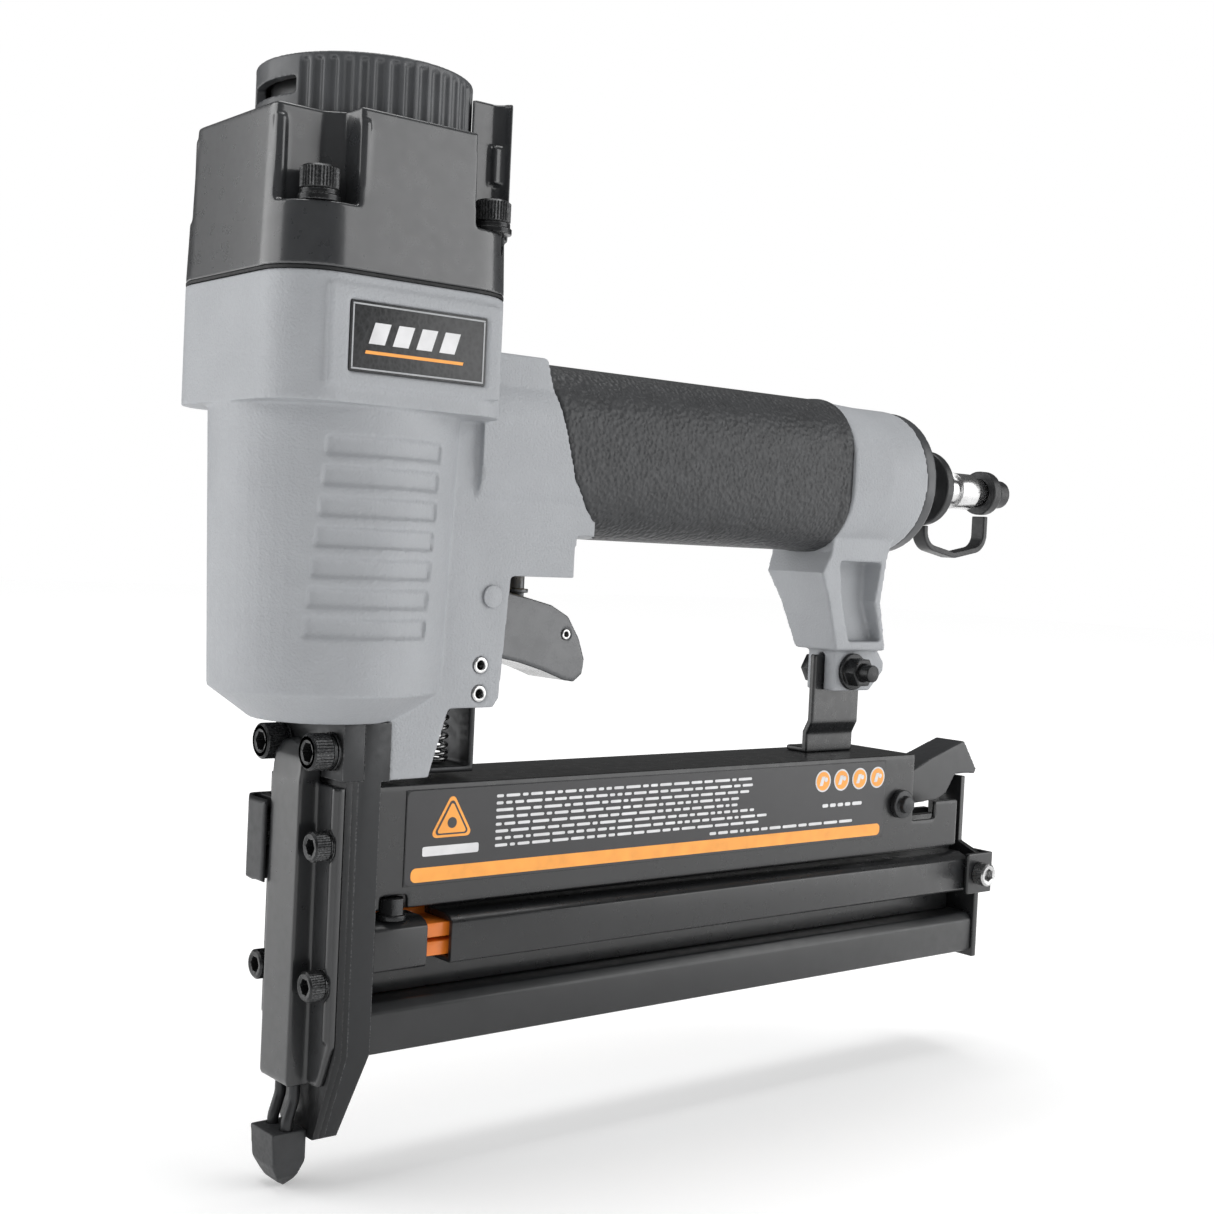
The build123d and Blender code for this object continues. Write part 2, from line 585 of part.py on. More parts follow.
def magazine_track():
    """Two upright walls that guide the fastener strip, each slotted for a pusher wing."""
    wall = block(MAG_FRONT_X, 222.0, CHANNEL_HALF + 0.2, TRACK_HALF - 0.02, TRACK_Z[0], TRACK_Z[1])
    wall = wall - block(0, WINDOW_X[1], 0, 20, RAIL_Z[0] - 0.4, RAIL_Z[1] + 0.4)
    wing_slot = block(0, 160.0, 0, 20, RAIL_Z[0] + SHEET, RAIL_Z[1] - SHEET - 0.4)
    return both_sides(wall - wing_slot)


def side_rails():
    return side_bar(WINDOW_X[1], 218.4)


def bottom_rail():
    half = COVER_HALF - 0.3
    outline = [(-half, LOWER_Z[0]), (half, LOWER_Z[0]), (half, LOWER_Z[1] - 2.2), (half - 1.6, LOWER_Z[1]),
               (-half + 1.6, LOWER_Z[1]), (-half, LOWER_Z[1] - 2.2)]
    return plate_x(outline, 7.6, 224.8) - block(0, 300, -CHANNEL_HALF - 0.2, CHANNEL_HALF + 0.2,
            LOWER_Z[0] + 2.5, 40)


def rear_end_plate():
    outline = [(-14.0, 17.6), (14.0, 17.6), (14.0, 50.0), (6.4, 52.8), (6.4, 73.0), (-6.4, 73.0),
               (-6.4, 52.8), (-14.0, 50.0)]
    return plate_x(outline, *END_PLATE_X)


def end_clamps():
    ear = block(216.7, END_PLATE_X[1] + 1.4, -17.5, -RAIL_OUT - 0.05, 38.4, 50.8)
    back = block(END_PLATE_X[1], END_PLATE_X[1] + 1.4, -17.5, -8.0, 38.4, 50.8)
    return both_sides(ear + back - rod_y(2.05, -25, -5, 222.0, 44.6))


def end_screws():
    screw = socket_screw(3.5, 4.0, 1.98, 8.0)
    near = Pos(222.0, -17.5, 44.6) * Rot(90, 0, 0) * screw
    return both_sides(near)


def track_rivets():
    return post(3.6, 16.2, 17.4, 218.0) + post(2.0, 17.4, LOWER_Z[0], 218.0)


def pusher():
    body = block(7.6, 40.0, -CHANNEL_HALF, CHANNEL_HALF, 24.0, 50.6) + block(39.0, 40.0, -2.8, 2.8, 50.6,
            57.4)
    wings = block(21.8, 36.0, -13.4, 13.4, 41.0, 44.4) + block(21.8, 36.0, -13.4, 13.4, 45.4, 48.8)
    return body + wings


def pusher_spring():
    """An extension spring above the pusher: it draws the pusher back to the nose."""
    return rod_x(2.8, 9.0, 38.9, 0, 54.2) - rod_x(2.0, 8.0, 40.0, 0, 54.2)


def magazine_bracket():
    """Spring steel strip with a shallow S bend: outline in Y and Z, width along X."""
    points = [(-1.0, 111.0), (-1.0, 91.0), (0.8, 87.6), (0.8, 82.0), (9.0, 82.0), (9.0, 83.6), (2.8, 83.6),
              (2.8, 88.2),
              (1.0, 91.6), (1.0, 111.0)]
    return plate_x(points, 162.2, 181.8) - rod_y(2.6, -10, 10, *LEG_BOLT)


def bracket_fasteners():
    shank = rod_y(2.5, -14.2, 10.6, *LEG_BOLT)
    head = extrude(Plane(origin=(LEG_BOLT[0], 7.4, LEG_BOLT[1]), x_dir=(1, 0, 0),
                         z_dir=(0, 1, 0)) * RegularPolygon(4.6, 6), amount=3.4)
    hexagon = Plane(origin=(LEG_BOLT[0], -5.4, LEG_BOLT[1]), x_dir=(1, 0, 0),
                    z_dir=(0, -1, 0)) * RegularPolygon(4.5, 6)
    nut = extrude(hexagon, amount=5.2) + rod_y(5.4, -6.8, -5.4, *LEG_BOLT)
    return together([shank + head, nut - rod_y(2.55, -20, 0, *LEG_BOLT)])


# ---- latch ----
def latch_lever():
    side = [(184.0, 70.8), (186.0, 64.0), (203.5, 65.4), (215.0, 66.2), (219.0, 68.0), (223.0, 73.6),
            (228.4, 73.6),
            (232.4, 73.4), (233.2, 74.8), (226.6, 84.0), (211.6, 79.2), (204.0, 76.0), (194.6, 74.6)]
    inner = [(180.0, 60.0), (205.0, 60.0), (217.0, 66.0), (222.0, 73.0), (231.4, 74.6), (225.8, 82.2),
             (212.0, 77.6), (204.0, 74.2),
             (180.0, 74.2)]
    lever = plate_y(side, -5.6, 5.6) - plate_y(inner, -4.3, 4.3)
    return lever - rod_y(2.6, -8, 8, *LATCH_PIVOT)


def latch_pivot_bolt():
    shank = rod_y(2.5, -17.4, 17.4, *LATCH_PIVOT)
    collar = rod_y(4.2, -15.6, -COVER_HALF - 0.02, *LATCH_PIVOT)
    return shank + collar + mirrored_y(collar)


# ---- air inlet ----
def air_plug():
    thread = rod_x(5.95, 186.0, PLUG_X + 0.5, 0, INLET_Z)
    hexagon = extrude(Plane(origin=(PLUG_X, 0, INLET_Z), x_dir=(0, 1, 0),
                            z_dir=(1, 0, 0)) * RegularPolygon(8.0, 6), amount=5.6)
    body = rod_x(6.2, 202.6, 214.6, 0, INLET_Z) + rod_x(4.4, 214.6, 220.0, 0, INLET_Z) + rod_x(5.6,
            220.0, 228.0, 0, INLET_Z)
    return thread + hexagon + body + rod_x(4.2, 228.0, 234.0, 0, INLET_Z) - rod_x(2.6, 180, 240, 0, INLET_Z)


def plug_ring():
    return rod_x(11.4, 205.2, 208.4, 0, INLET_Z) - rod_x(6.25, 200, 212, 0, INLET_Z)


def cap_strap():
    path = FilletPolyline((206.8, 0, 150.7), (207.2, 0, 144.6), (221.0, 0, 142.0), (235.4, 0, 144.8),
                          (235.4, 0, 154.8), radius=5.4)
    return sweep(Plane(origin=path @ 0, x_dir=(0, 1, 0), z_dir=path % 0) * Rectangle(5.0, 1.8), path)


def dust_cap():
    disc = rod_x(6.9, 233.6, 237.2, 0, INLET_Z) + rod_x(3.0, 237.2, 241.0, 0, INLET_Z) + rod_x(4.4,
            240.0, 244.4, 0, INLET_Z)
    return disc - rod_x(4.25, 230, 234.6, 0, INLET_Z)


PARTS = {
    "main_housing": main_housing, "grip_sleeve": grip_sleeve, "end_cap": end_cap,
    "cylinder_cap": cylinder_cap, "cap_gasket": cap_gasket, "cap_screws": cap_screws,
    "exhaust_deflector": exhaust_deflector, "deflector_screw": deflector_screw,
    "deflector_filter": deflector_filter, "cylinder_sleeve": cylinder_sleeve,
    "sleeve_seals": sleeve_seals, "piston": piston, "piston_ring": piston_ring,
    "driver_blade": driver_blade, "bumper": bumper, "head_valve": head_valve,
    "head_valve_spring": head_valve_spring, "trigger": trigger, "trigger_pivot_pin": trigger_pivot_pin,
    "trigger_arm": trigger_arm, "trigger_arm_pin": trigger_arm_pin, "trigger_spring": trigger_spring,
    "roll_pins": roll_pins, "valve_body": valve_body, "valve_stem": valve_stem,
    "valve_spring": valve_spring, "nose_front_plate": nose_front_plate,
    "nose_guide_plate": nose_guide_plate, "nose_body": nose_body, "nose_adapter": nose_adapter,
    "nose_cover": nose_cover, "nose_bolts_lower": nose_bolts_lower, "screw_washers": screw_washers,
    "nose_bolts_upper": nose_bolts_upper, "safety_wire": safety_wire, "no_mar_tip": no_mar_tip,
    "safety_link": safety_link, "safety_yoke": safety_yoke, "safety_spring": safety_spring,
    "magazine_cover": magazine_cover, "name_plates": name_plates, "front_guides": front_guides,
    "guide_nuts": guide_nuts, "magazine_track": magazine_track, "side_rails": side_rails,
    "bottom_rail": bottom_rail, "rear_end_plate": rear_end_plate, "end_clamps": end_clamps,
    "end_screws": end_screws, "track_rivet": track_rivets, "pusher": pusher,
    "pusher_spring": pusher_spring, "magazine_bracket": magazine_bracket,
    "bracket_fasteners": bracket_fasteners, "latch_lever": latch_lever,
    "latch_pivot_bolt": latch_pivot_bolt, "air_plug": air_plug, "plug_ring": plug_ring,
    "cap_strap": cap_strap, "dust_cap": dust_cap,
}

os.makedirs("parts", exist_ok=True)
for name, make in PARTS.items():
    export_step(make(), "parts/" + name + ".step")
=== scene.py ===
import json
import math
import random

import bmesh
import bpy
from mathutils import Matrix, Vector


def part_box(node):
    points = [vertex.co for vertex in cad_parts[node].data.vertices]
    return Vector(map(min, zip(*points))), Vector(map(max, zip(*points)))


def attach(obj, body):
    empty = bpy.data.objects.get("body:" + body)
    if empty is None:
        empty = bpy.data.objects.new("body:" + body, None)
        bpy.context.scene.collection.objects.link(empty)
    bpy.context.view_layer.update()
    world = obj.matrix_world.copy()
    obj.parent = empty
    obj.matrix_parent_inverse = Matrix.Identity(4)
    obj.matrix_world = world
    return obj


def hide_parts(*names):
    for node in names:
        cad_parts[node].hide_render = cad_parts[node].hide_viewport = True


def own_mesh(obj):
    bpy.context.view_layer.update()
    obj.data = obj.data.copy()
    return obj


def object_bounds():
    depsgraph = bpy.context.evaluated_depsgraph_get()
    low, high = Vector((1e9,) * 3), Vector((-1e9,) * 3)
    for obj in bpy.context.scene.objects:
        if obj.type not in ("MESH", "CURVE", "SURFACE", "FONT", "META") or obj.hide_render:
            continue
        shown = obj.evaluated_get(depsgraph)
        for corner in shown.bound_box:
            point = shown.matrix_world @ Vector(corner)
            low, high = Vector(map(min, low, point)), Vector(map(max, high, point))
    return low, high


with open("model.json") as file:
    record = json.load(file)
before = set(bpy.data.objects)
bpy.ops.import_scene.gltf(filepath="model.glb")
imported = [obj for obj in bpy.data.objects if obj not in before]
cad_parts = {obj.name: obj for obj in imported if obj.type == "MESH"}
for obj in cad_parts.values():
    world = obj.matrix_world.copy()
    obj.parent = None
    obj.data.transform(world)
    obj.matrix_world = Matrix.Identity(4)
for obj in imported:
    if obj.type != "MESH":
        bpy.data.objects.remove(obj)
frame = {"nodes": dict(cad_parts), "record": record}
CAD_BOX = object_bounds()
MM = 0.001
SCENE = bpy.context.scene
NODE_SLOT = {part["node"]: part["material_slot"] for part in frame["record"]["subparts"]}
BODY_OF = {node: body for body, nodes in frame["record"]["behaviour"]["bodies"].items() for node in nodes}
random.seed(7)

# ---- sizes, in metres ----
LABEL_T = 0.25 * MM          # the label plate stands this far out of the magazine cover
DECAL_T = 0.05 * MM          # one layer of print, of which the marks stand one to five out of the plates
MERGE = 1e-6                 # CAD points closer than this become one point
FLOOR_DROP = 0.0002          # gap between the tool's lowest point and the floor
FLOOR_HALF = 4.0
M4_SCREW = (3.5 * MM, 4.0 * MM, 1.98 * MM)       # head radius, head height and shank radius
M5_SCREW = (4.25 * MM, 5.0 * MM, 2.45 * MM)

# ---- how finely round pieces are drawn ----
KNURLS = 36                  # knurls around a screw's head
WASHER_STEPS = 48
WIRE_STEPS = 10              # sides of a spring's wire
TURN_STEPS = 22              # steps in one turn of a spring
CORNER_STEPS = 5
DISC_STEPS = 40

# ---- light and finish ----
FILL = 0.40                  # brightness of the room's soft fill light
MIRRORED_FILL = 0.10         # brightness of the room as the shiny surfaces mirror it
WHITE = (1.0, 1.0, 1.0, 1.0)
NOISE_SPAN = (0.3, 0.7)      # most of a noise texture's values lie between these
PEBBLE_SMOOTHNESS = 0.6
PAINT_BLUE = 0.12            # how much bluer than grey the satin paints are


# ---- materials ----
class Look:
    """A node material on one Principled shader, textured in object coordinates."""

    def __init__(self, name, roughness, metallic=0.0, **sockets):
        self.material = bpy.data.materials.new(name)
        self.material.use_nodes = True
        self.nodes = self.material.node_tree.nodes
        self.links = self.material.node_tree.links
        self.shader = self.nodes["Principled BSDF"]
        self.shader.inputs["Roughness"].default_value = roughness
        self.shader.inputs["Metallic"].default_value = metallic
        for socket, value in sockets.items():
            self.shader.inputs[socket.replace("_", " ")].default_value = value
        self.place = self.nodes.new("ShaderNodeTexCoord").outputs["Object"]

    def noise(self, size, detail=3.0):
        """Soft random spots, about size across."""
        texture = self.nodes.new("ShaderNodeTexNoise")
        texture.inputs["Scale"].default_value = 1.0 / size
        texture.inputs["Detail"].default_value = detail
        self.links.new(self.place, texture.inputs["Vector"])
        return texture.outputs["Fac"]

    def cells(self, size, feature="F1"):
        """Rounded pebbles, about size across."""
        texture = self.nodes.new("ShaderNodeTexVoronoi")
        texture.feature = feature
        texture.inputs["Scale"].default_value = 1.0 / size
        if feature == "SMOOTH_F1":
            texture.inputs["Smoothness"].default_value = PEBBLE_SMOOTHNESS
        self.links.new(self.warped(size), texture.inputs["Vector"])
        return texture.outputs["Distance"]

    def warped(self, size):
        """The coordinates, pushed about by noise so that cells come out uneven."""
        texture = self.nodes.new("ShaderNodeTexNoise")
        texture.inputs["Scale"].default_value = 0.6 / size
        self.links.new(self.place, texture.inputs["Vector"])
        push = self.nodes.new("ShaderNodeVectorMath")
        push.operation = "MULTIPLY_ADD"
        push.inputs[1].default_value = (size * 0.9,) * 3
        self.links.new(texture.outputs["Color"], push.inputs[0])
        self.links.new(self.place, push.inputs[2])
        return push.outputs["Vector"]

    def edges(self, radius):
        """1 along edges, where worn metal and a painted highlight go, and 0 on flat faces."""
        bevel = self.nodes.new("ShaderNodeBevel")
        bevel.samples = 4
        bevel.inputs["Radius"].default_value = radius
        face = self.nodes.new("ShaderNodeNewGeometry").outputs["Normal"]
        dot = self.nodes.new("ShaderNodeVectorMath")
        dot.operation = "DOT_PRODUCT"
        self.links.new(bevel.outputs["Normal"], dot.inputs[0])
        self.links.new(face, dot.inputs[1])
        return self.ranged(dot.outputs["Value"], (0.985, 0.90), (0.0, 1.0))

    def ranged(self, value, given, wanted):
        """The value, with the span given stretched to the span wanted."""
        node = self.nodes.new("ShaderNodeMapRange")
        node.inputs["From Min"].default_value = given[0]
        node.inputs["From Max"].default_value = given[1]
        node.inputs["To Min"].default_value = wanted[0]
        node.inputs["To Max"].default_value = wanted[1]
        self.links.new(value, node.inputs["Value"])
        return node.outputs["Result"]

    def multiplied(self, a, b):
        node = self.nodes.new("ShaderNodeMath")
        node.operation = "MULTIPLY"
        self.links.new(a, node.inputs[0])
        self.links.new(b, node.inputs[1])
        return node.outputs["Value"]

    def colours(self, value, low, high, given=NOISE_SPAN):
        """Base colour running from low to high as value rises."""
        ramp = self.nodes.new("ShaderNodeValToRGB")
        ramp.color_ramp.elements[0].position = given[0]
        ramp.color_ramp.elements[0].color = (*low, 1.0)
        ramp.color_ramp.elements[1].position = given[1]
        ramp.color_ramp.elements[1].color = (*high, 1.0)
        self.links.new(value, ramp.inputs["Fac"])
        self.links.new(ramp.outputs["Color"], self.shader.inputs["Base Color"])
        return self

    def rough(self, value, low, high):
        """Roughness running from low to high as value rises."""
        self.links.new(self.ranged(value, NOISE_SPAN, (low, high)), self.shader.inputs["Roughness"])
        return self

    def bump(self, value, height, strength=1.0):
        """Relief of the given height, on top of any that is there already."""
        node = self.nodes.new("ShaderNodeBump")
        node.inputs["Distance"].default_value = height
        node.inputs["Strength"].default_value = strength
        self.links.new(value, node.inputs["Height"])
        previous = self.shader.inputs["Normal"].links
        if previous:
            self.links.new(previous[0].from_socket, node.inputs["Normal"])
        self.links.new(node.outputs["Normal"], self.shader.inputs["Normal"])
        return self


def grey(level, blue=0.0):
    """A grey, shifted towards blue by the share blue."""
    return (level, level * (1 + blue * 0.4), level * (1 + blue))


def powder_coat(name, level, roughness):
    """Sand-textured powder coat on a casting."""
    look = Look(name, roughness)
    look.colours(look.noise(14 * MM), grey(level * 0.96, 0.085), grey(level * 1.03, 0.085))
    look.rough(look.noise(1.2 * MM), roughness - 0.06, roughness + 0.08)
    look.bump(look.noise(0.62 * MM, 2.0), 0.17 * MM)
    return look.bump(look.noise(4 * MM, 1.0), 0.08 * MM, 0.5)


def satin_paint(name, level, roughness, coat=0.0, grain=0.5, height=0.02):
    """Smooth dark paint. The grain's size and height are in millimetres."""
    look = Look(name, roughness, Coat_Weight=coat, Coat_Roughness=0.12)
    look.colours(look.noise(9 * MM), grey(level * 0.88, PAINT_BLUE), grey(level * 1.1, PAINT_BLUE))
    look.rough(look.noise(3 * MM), roughness - 0.05, roughness + 0.07)
    return look.bump(look.noise(grain * MM, 2.0), height * MM)


def moulded_rubber(name, level, roughness, pebble):
    """Rubber with pebbles of the given size in millimetres, or smooth if that is 0."""
    look = Look(name, roughness, Specular_IOR_Level=0.4)
    look.colours(look.noise(6 * MM), grey(level * 0.85, 0.1), grey(level * 1.15, 0.1))
    look.rough(look.noise(1.0 * MM), roughness - 0.06, roughness + 0.1)
    if pebble:
        look.bump(look.cells(pebble * MM, "SMOOTH_F1"), 0.36 * MM)
    return look.bump(look.noise(0.3 * MM, 2.0), 0.02 * MM)


def dark_steel(name, level, wear_and_highlight, roughness=0.36):
    """Black oxide on steel, lighter and speckled along the edges with worn bare metal and a painted
    highlight, or even where that edge lightening is 0.
    """
    look = Look(name, roughness, 0.55)
    speckle = look.ranged(look.noise(0.5 * MM, 4.0), (0.42, 0.62), (0.0, 1.0))
    # lighter colour along the edges: partly worn bare metal, partly a painted highlight
    wear_and_highlight_mask = look.multiplied(look.edges(0.45 * MM), speckle) if wear_and_highlight else look.noise(2.5 * MM, 4.0)
    span = (0.05, 0.9) if wear_and_highlight else (0.35, 0.75)
    look.colours(wear_and_highlight_mask, grey(level, 0.08), grey(level + wear_and_highlight, 0.03), span)
    look.rough(look.noise(2.0 * MM, 4.0), roughness - 0.08, roughness + 0.1)
    return look.bump(look.noise(0.35 * MM, 3.0), 0.012 * MM)


def bright_metal(name, level, roughness, colour=None):
    """Bare or plated metal, grey unless it is given a colour."""
    look = Look(name, roughness, 1.0)
    low = colour or grey(level * 0.9)
    high = tuple(min(1.0, c * 1.15) for c in low)
    look.colours(look.noise(4 * MM), low, high)
    look.rough(look.noise(0.7 * MM), roughness * 0.8, roughness * 1.3)
    return look.bump(look.noise(0.3 * MM), 0.004 * MM)


def plastic(name, colour, roughness, coat=0.0, height=0.008):
    look = Look(name, roughness, Coat_Weight=coat, Coat_Roughness=0.1)
    darker = tuple(c * 0.9 for c in colour)
    lighter = tuple(min(1.0, c * 1.08) for c in colour)
    look.colours(look.noise(5 * MM), darker, lighter)
    look.rough(look.noise(1.5 * MM), roughness - 0.04, roughness + 0.05)
    return look.bump(look.noise(0.4 * MM), height * MM)


def leather_print(name):
    """Dark plate with a fine leather grain."""
    look = Look(name, 0.42)
    grain = 1.1 * MM
    look.colours(look.cells(grain), grey(0.012, 0.1), grey(0.028, 0.1), (0.1, 0.9))
    return look.bump(look.cells(grain), 0.05 * MM)


LOOKS = {
    "housing_paint": powder_coat("housing_powder", 0.325, 0.52),
    "pin_paint": powder_coat("pin_powder", 0.33, 0.46),
    "grip_rubber": moulded_rubber("grip_leather_rubber", 0.032, 0.48, 1.25),
    "end_cap_paint": satin_paint("end_cap_satin", 0.050, 0.36),
    "cap_paint": satin_paint("cap_satin", 0.030, 0.30, coat=0.7, height=0.004),
    "deflector_plastic": satin_paint("deflector_satin", 0.058, 0.44, coat=0.15),
    "filter_mesh": dark_steel("filter_wire", 0.03, 0.0),
    "gasket": moulded_rubber("gasket_sheet", 0.012, 0.6, 0),
    "black_screw": dark_steel("black_oxide_screw", 0.022, 0.10, 0.28),
    "cylinder_alloy": bright_metal("anodised_alloy", 0.6, 0.3),
    "seal_rubber": moulded_rubber("nitrile", 0.015, 0.5, 0),
    "hardened_steel": bright_metal("ground_steel", 0.55, 0.22),
    "valve_plastic": plastic("acetal", (0.72, 0.71, 0.66), 0.4),
    "spring_steel": bright_metal("spring_wire", 0.22, 0.25),
    "trigger_paint": satin_paint("trigger_satin", 0.060, 0.26, coat=0.35, grain=0.9, height=0.006),
    "trigger_steel": bright_metal("bright_steel", 0.55, 0.2),
    "valve_brass": bright_metal("valve_brass", 0.5, 0.25, (0.52, 0.38, 0.16)),
    "valve_steel": dark_steel("valve_stem_steel", 0.12, 0.1, 0.3),
    "nose_steel": dark_steel("nose_black_oxide", 0.030, 0.16, 0.38),
    "plate_steel": dark_steel("plate_black_oxide", 0.020, 0.05, 0.36),
    "cover_steel": satin_paint("nose_cover_phosphate", 0.018, 0.32, coat=0.35, grain=0.35, height=0.010),
    "safety_steel": dark_steel("safety_black_steel", 0.035, 0.06, 0.36),
    "tip_plastic": moulded_rubber("tip_plastic", 0.030, 0.45, 0),
    "magazine_enamel": satin_paint("magazine_enamel", 0.013, 0.30, coat=0.15, grain=1.6, height=0.006),
    "rail_enamel": satin_paint("rail_enamel", 0.017, 0.34, coat=0.1, grain=1.6, height=0.006),
    "name_plate": leather_print("name_plate_print"),
    "end_hardware": bright_metal("zinc_plate", 0.5, 0.28),
    "pusher_orange": plastic("pusher_orange", (0.80, 0.20, 0.02), 0.35, coat=0.3),
    "bracket_steel": satin_paint("bracket_black", 0.013, 0.28, coat=0.2, grain=1.2, height=0.004),
    "latch_paint": satin_paint("latch_satin", 0.026, 0.34, coat=0.1, grain=0.8, height=0.008),
    "latch_bolt_steel": dark_steel("latch_bolt_steel", 0.035, 0.1, 0.3),
    "plug_chrome": bright_metal("plug_nickel", 0.62, 0.24),
    "plug_rubber": moulded_rubber("black_rubber", 0.02, 0.38, 0),
}
PRINT = {
    "orange": plastic("print_orange", (0.90, 0.36, 0.055), 0.42),
    "white": plastic("print_white", (0.68, 0.68, 0.69), 0.45),
    "grey": plastic("print_grey", (0.36, 0.37, 0.38), 0.45),
    "dark": plastic("print_dark", (0.035, 0.036, 0.040), 0.42),
    "label": plastic("label_film", (0.013, 0.013, 0.015), 0.34, coat=0.2, height=0.004),
}


# ---- building pieces ----
def dress(obj, look):
    obj.data.materials.clear()
    obj.data.materials.append(look.material)


def settle(obj, node, *others):
    """Gives a new piece its node's finish and body, and hides the CAD nodes it stands for."""
    dress(obj, LOOKS[NODE_SLOT[node]])
    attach(obj, BODY_OF[node])
    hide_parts(node, *others)
    return obj


def new_object(name, mesh):
    obj = bpy.data.objects.new(name, mesh)
    SCENE.collection.objects.link(obj)
    return obj


def copy_of(node, flat=True):
    """A free mesh with a CAD node's shape. With flat, its flat faces are made whole again."""
    obj = new_object(node + "_shape", frame["nodes"][node].data.copy())
    bm = bmesh.new()
    bm.from_mesh(obj.data)
    bmesh.ops.remove_doubles(bm, verts=bm.verts, dist=MERGE)
    if flat:
        bmesh.ops.dissolve_limit(bm, angle_limit=math.radians(0.6), verts=bm.verts, edges=bm.edges)
    bm.to_mesh(obj.data)
    bm.free()
    return obj


def applied(obj):
    """The object with its modifiers made part of its mesh."""
    graph = bpy.context.evaluated_depsgraph_get()
    mesh = bpy.data.meshes.new_from_object(obj.evaluated_get(graph))
    obj.modifiers.clear()
    obj.data = mesh
    return obj


def shade(obj, angle):
    """Smooth shading, except across edges sharper than angle."""
    obj.data.polygons.foreach_set("use_smooth", [True] * len(obj.data.polygons))
    obj.data.set_sharp_from_angle(angle=math.radians(angle))
    return obj


def cast(node, voxel, rounds):
    """A casting, moulding or bent sheet: the CAD shape with every edge rounded over. Voxel is in mm."""
    obj = copy_of(node, flat=False)
    remesh = obj.modifiers.new("remesh", "REMESH")
    remesh.mode = "VOXEL"
    remesh.voxel_size = voxel * MM
    smooth = obj.modifiers.new("smooth", "SMOOTH")
    smooth.factor = 0.5
    smooth.iterations = rounds
    return shade(applied(obj), 180.0)


def machined(node, width):
    """A plate or block: the CAD shape with bevels along its sharp edges, width mm wide."""
    obj = copy_of(node)
    bevel = obj.modifiers.new("bevel", "BEVEL")
    bevel.width = width * MM
    bevel.segments = 2
    bevel.limit_method = "ANGLE"
    bevel.angle_limit = math.radians(32)
    return shade(applied(obj), 50.0)


def turned(rings):
    """A solid turned about +Z. Each ring is (height, radius), where the radius may depend on the angle."""
    steps = 2 * KNURLS
    points = []
    faces = []
    for height, radius in rings:
        for k in range(steps):
            angle = 2 * math.pi * k / steps
            r = radius(angle, k) if callable(radius) else radius
            points.append(Vector((r * math.cos(angle), r * math.sin(angle), height)))
    for row in range(len(rings) - 1):
        for k in range(steps):
            a = row * steps + k
            b = row * steps + (k + 1) % steps
            faces.append((a, b, b + steps, a + steps))
    faces.append(tuple(reversed(range(steps))))
    faces.append(tuple(range(len(points) - steps, len(points))))
    return points, faces


def placed(part, at, axis=(0, 0, 1)):
    """The part turned so that its +Z lies along axis, and moved to at."""
    turn = Vector((0, 0, 1)).rotation_difference(Vector(axis)).to_matrix()
    points, faces = part
    return [turn @ p + Vector(at) for p in points], faces


def build(name, parts, angle=35.0):
    """One object made of several parts, each of them (points, faces)."""
    points = []
    faces = []
    for part_points, part_faces in parts:
        start = len(points)
        points.extend(part_points)
        faces.extend([tuple(i + start for i in face) for face in part_faces])
    mesh = bpy.data.meshes.new(name)
    mesh.from_pydata(points, [], faces)
    mesh.validate()
    return shade(new_object(name, mesh), angle)


def socket_screw(head_r, head_h, shank_r, shank_l):
    """A knurled socket head screw, head up, with the underside of its head at the origin."""
    def knurl(_, k):
        return head_r if k % 2 else head_r - 0.17 * MM

    def hexagon(angle, _):
        apart = (angle + math.pi / 6) % (math.pi / 3) - math.pi / 6
        return head_r * 0.50 / math.cos(apart)

    edge = 0.35 * MM
    shank = [(-shank_l, shank_r * 0.7), (-shank_l + edge, shank_r), (-0.01 * MM, shank_r)]
    head = [(0, head_r - edge), (edge, knurl), (head_h - 1.3 * edge, knurl),
            (head_h - edge, head_r - 0.2 * MM), (head_h, head_r - edge - 0.25 * MM), (head_h, head_r * 0.66)]
    socket = [(head_h - 0.2 * MM, hexagon), (head_h - head_r * 0.7, hexagon),
              (head_h - head_r * 0.95, 0.2 * MM)]
    return turned(shank + head + socket)


def flat_washer(outer, inner, thickness):
    edge = 0.12 * MM
    profile = [(inner, 0), (outer - edge, 0), (outer, edge), (outer, thickness - edge),
               (outer - edge, thickness), (inner, thickness)]
    return swept_ring(profile, 0.0, 2 * math.pi, 0.0)


def split_washer(outer, inner, thickness):
    """A spring washer with its ends sprung apart."""
    profile = [(inner, 0), (outer, 0), (outer, thickness), (inner, thickness)]
    return swept_ring(profile, math.radians(6), math.radians(354), 0.25 * MM)


def swept_ring(profile, start, stop, rise):
    """A profile of (radius, height) swept about +Z from start to stop, climbing by rise on the way."""
    steps = WASHER_STEPS
    closed = abs(stop - start - 2 * math.pi) < 1e-6
    count = steps if closed else steps + 1
    size = len(profile)
    points = []
    for k in range(count):
        angle = start + (stop - start) * k / steps
        lift = rise * (k / steps - 0.5)
        points.extend([Vector((r * math.cos(angle), r * math.sin(angle), z + lift)) for r, z in profile])
    faces = []
    for k in range(steps):
        near = k * size
        far = ((k + 1) % count) * size
        faces.extend([(near + i, near + (i + 1) % size, far + (i + 1) % size, far + i) for i in range(size)])
    if not closed:
        faces.append(tuple(reversed(range(size))))
        faces.append(tuple(range((count - 1) * size, count * size)))
    return points, [tuple(reversed(face)) for face in faces]


